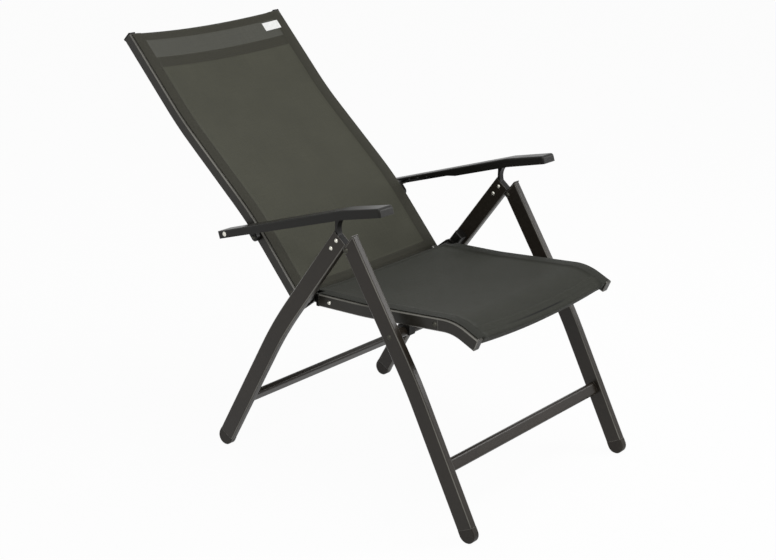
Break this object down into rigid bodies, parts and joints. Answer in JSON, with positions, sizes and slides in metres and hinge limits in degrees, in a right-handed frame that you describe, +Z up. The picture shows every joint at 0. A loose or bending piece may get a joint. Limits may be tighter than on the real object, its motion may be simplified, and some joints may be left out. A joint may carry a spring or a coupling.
{
  "type": "folding garden armchair",
  "caption": "High-back reclining folding garden armchair with mesh fabric seat and back, flat tube legs and ratchet armrests.",
  "frame": {"origin": "on the floor, under the middle of the whole chair's bounding box", "axes": "+Z up, the chair faces -Y, X runs across it with the sitter's left at +X"},
  "size_m": [0.604, 1.0666, 0.9122],
  "materials": {
    "leg_paint": "satin anthracite powder coat",
    "rail_paint": "satin anthracite powder coat",
    "moulding": "black moulded plastic",
    "arm_moulding": "dark grey moulded plastic with a slight sheen",
    "rivet_metal": "bare aluminium",
    "bolt_metal": "blackened steel",
    "mesh": "coated mesh fabric",
    "keder_cord": "flexible plastic cord"
  },
  "bodies": {
    "rear_frame": {"rear_leg_l": "leg_paint", "rear_leg_r": "leg_paint", "rear_foot_l": "moulding", "rear_foot_r": "moulding", "hinge_bracket_l": "moulding", "hinge_bracket_r": "moulding", "pivot_block_l": "moulding", "pivot_block_r": "moulding", "bracket_rivets": "rivet_metal", "rear_crossbar": "leg_paint", "pivot_bolts": "bolt_metal"},
    "front_frame": {"front_leg_l": "leg_paint", "front_leg_r": "leg_paint", "front_foot_l": "moulding", "front_foot_r": "moulding", "front_leg_cap_l": "moulding", "front_leg_cap_r": "moulding", "leg_hinge_bolts": "bolt_metal", "front_crossbar": "leg_paint", "upper_cross_tube": "leg_paint", "cross_tube_screws": "bolt_metal"},
    "seat_frame": {"seat_rail_l": "rail_paint", "seat_rail_r": "rail_paint", "seat_nose_l": "moulding", "seat_nose_r": "moulding", "seat_lug_l": "moulding", "seat_lug_r": "moulding", "seat_saddle_l": "moulding", "seat_saddle_r": "moulding", "nose_screws": "bolt_metal", "seat_rivets": "rivet_metal", "seat_front_bar": "rail_paint", "seat_rear_bar": "rail_paint", "seat_sling": "mesh", "seat_keders": "keder_cord"},
    "back_frame": {"back_rail_l": "rail_paint", "back_rail_r": "rail_paint", "back_hinge_l": "moulding", "back_hinge_r": "moulding", "back_top_cap_l": "moulding", "back_top_cap_r": "moulding", "pin_carrier_l": "moulding", "pin_carrier_r": "moulding", "back_rivets": "rivet_metal", "back_top_bar": "rail_paint", "back_bottom_bar": "rail_paint", "back_sling": "mesh", "back_keders": "keder_cord", "stop_pins": "bolt_metal", "carrier_rivets": "rivet_metal"},
    "armrest_body_l": {"armrest_l": "arm_moulding", "notch_rail_l": "arm_moulding", "arm_rivet_l": "rivet_metal", "arm_pivot_pin_l": "bolt_metal"},
    "armrest_body_r": {"armrest_r": "arm_moulding", "notch_rail_r": "arm_moulding", "arm_rivet_r": "rivet_metal", "arm_pivot_pin_r": "bolt_metal"}
  },
  "joints": [
    {"name": "front_leg_fold", "type": "hinge", "parent": "rear_frame", "child": "front_frame", "pos_m": [0, -0.19074, 0.55281], "axis": [1, 0, 0], "range_deg": [0, 62]},
    {"name": "seat_fold", "type": "hinge", "parent": "rear_frame", "child": "seat_frame", "pos_m": [0, -0.04445, 0.40781], "axis": [1, 0, 0], "range_deg": [-48.4, 0]},
    {"name": "back_recline", "type": "hinge", "parent": "rear_frame", "child": "back_frame", "pos_m": [0, -0.04445, 0.40781], "axis": [1, 0, 0], "range_deg": [-8, 82]},
    {"name": "arm_swing_l", "type": "hinge", "parent": "rear_frame", "child": "armrest_body_l", "pos_m": [0.276, -0.16762, 0.62147], "axis": [1, 0, 0], "range_deg": [-3, 30.5]},
    {"name": "arm_swing_r", "type": "hinge", "parent": "rear_frame", "child": "armrest_body_r", "pos_m": [-0.276, -0.16762, 0.62147], "axis": [1, 0, 0], "range_deg": [-3, 30.5]}
  ],
  "couplings": [
    {"joint": "arm_swing_l", "follows": "back_recline", "ratio": 0.37},
    {"joint": "arm_swing_r", "follows": "back_recline", "ratio": 0.37}
  ]
}
